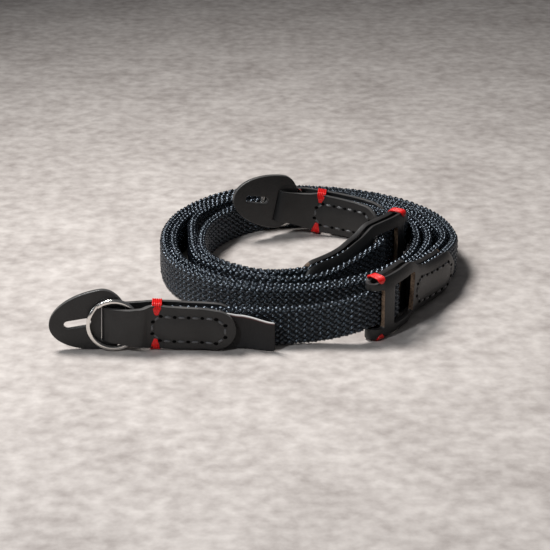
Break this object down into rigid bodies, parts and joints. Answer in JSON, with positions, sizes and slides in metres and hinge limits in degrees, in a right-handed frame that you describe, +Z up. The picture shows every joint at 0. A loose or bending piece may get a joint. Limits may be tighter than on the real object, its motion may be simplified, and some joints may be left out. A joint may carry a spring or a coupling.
{
  "type": "camera strap",
  "caption": "Coiled adjustable camera strap: flat braided straps wound on edge, with leather sliders, leather camera ends, lug tabs and split rings.",
  "frame": {"origin": "middle of the underside of the coiled strap", "axes": "+Z up from the floor, +X along the front stretch from the free camera end to the slider, +Y to the back of the coil"},
  "size_m": [0.128, 0.1196, 0.023],
  "materials": {
    "braid": "matte",
    "leather": "satin",
    "steel": "gloss",
    "thread": "satin",
    "label": "matte"
  },
  "bodies": {
    "root": {"braid_a": "braid", "braid_b": "braid", "camera_end_a": "leather", "camera_end_b": "leather", "slider_end_a": "leather", "slider_end_b": "leather", "lug_tab_a": "leather", "lug_tab_b": "leather", "split_ring_a": "steel", "split_ring_b": "steel", "camera_end_a_tack_top": "thread", "camera_end_a_tack_bottom": "thread", "camera_end_b_tack_top": "thread", "camera_end_b_tack_bottom": "thread", "slider_end_a_tack_top": "thread", "slider_end_a_tack_bottom": "thread", "slider_end_b_tack_top": "thread", "slider_end_b_tack_bottom": "thread", "label_tag": "label"}
  },
  "joints": []
}
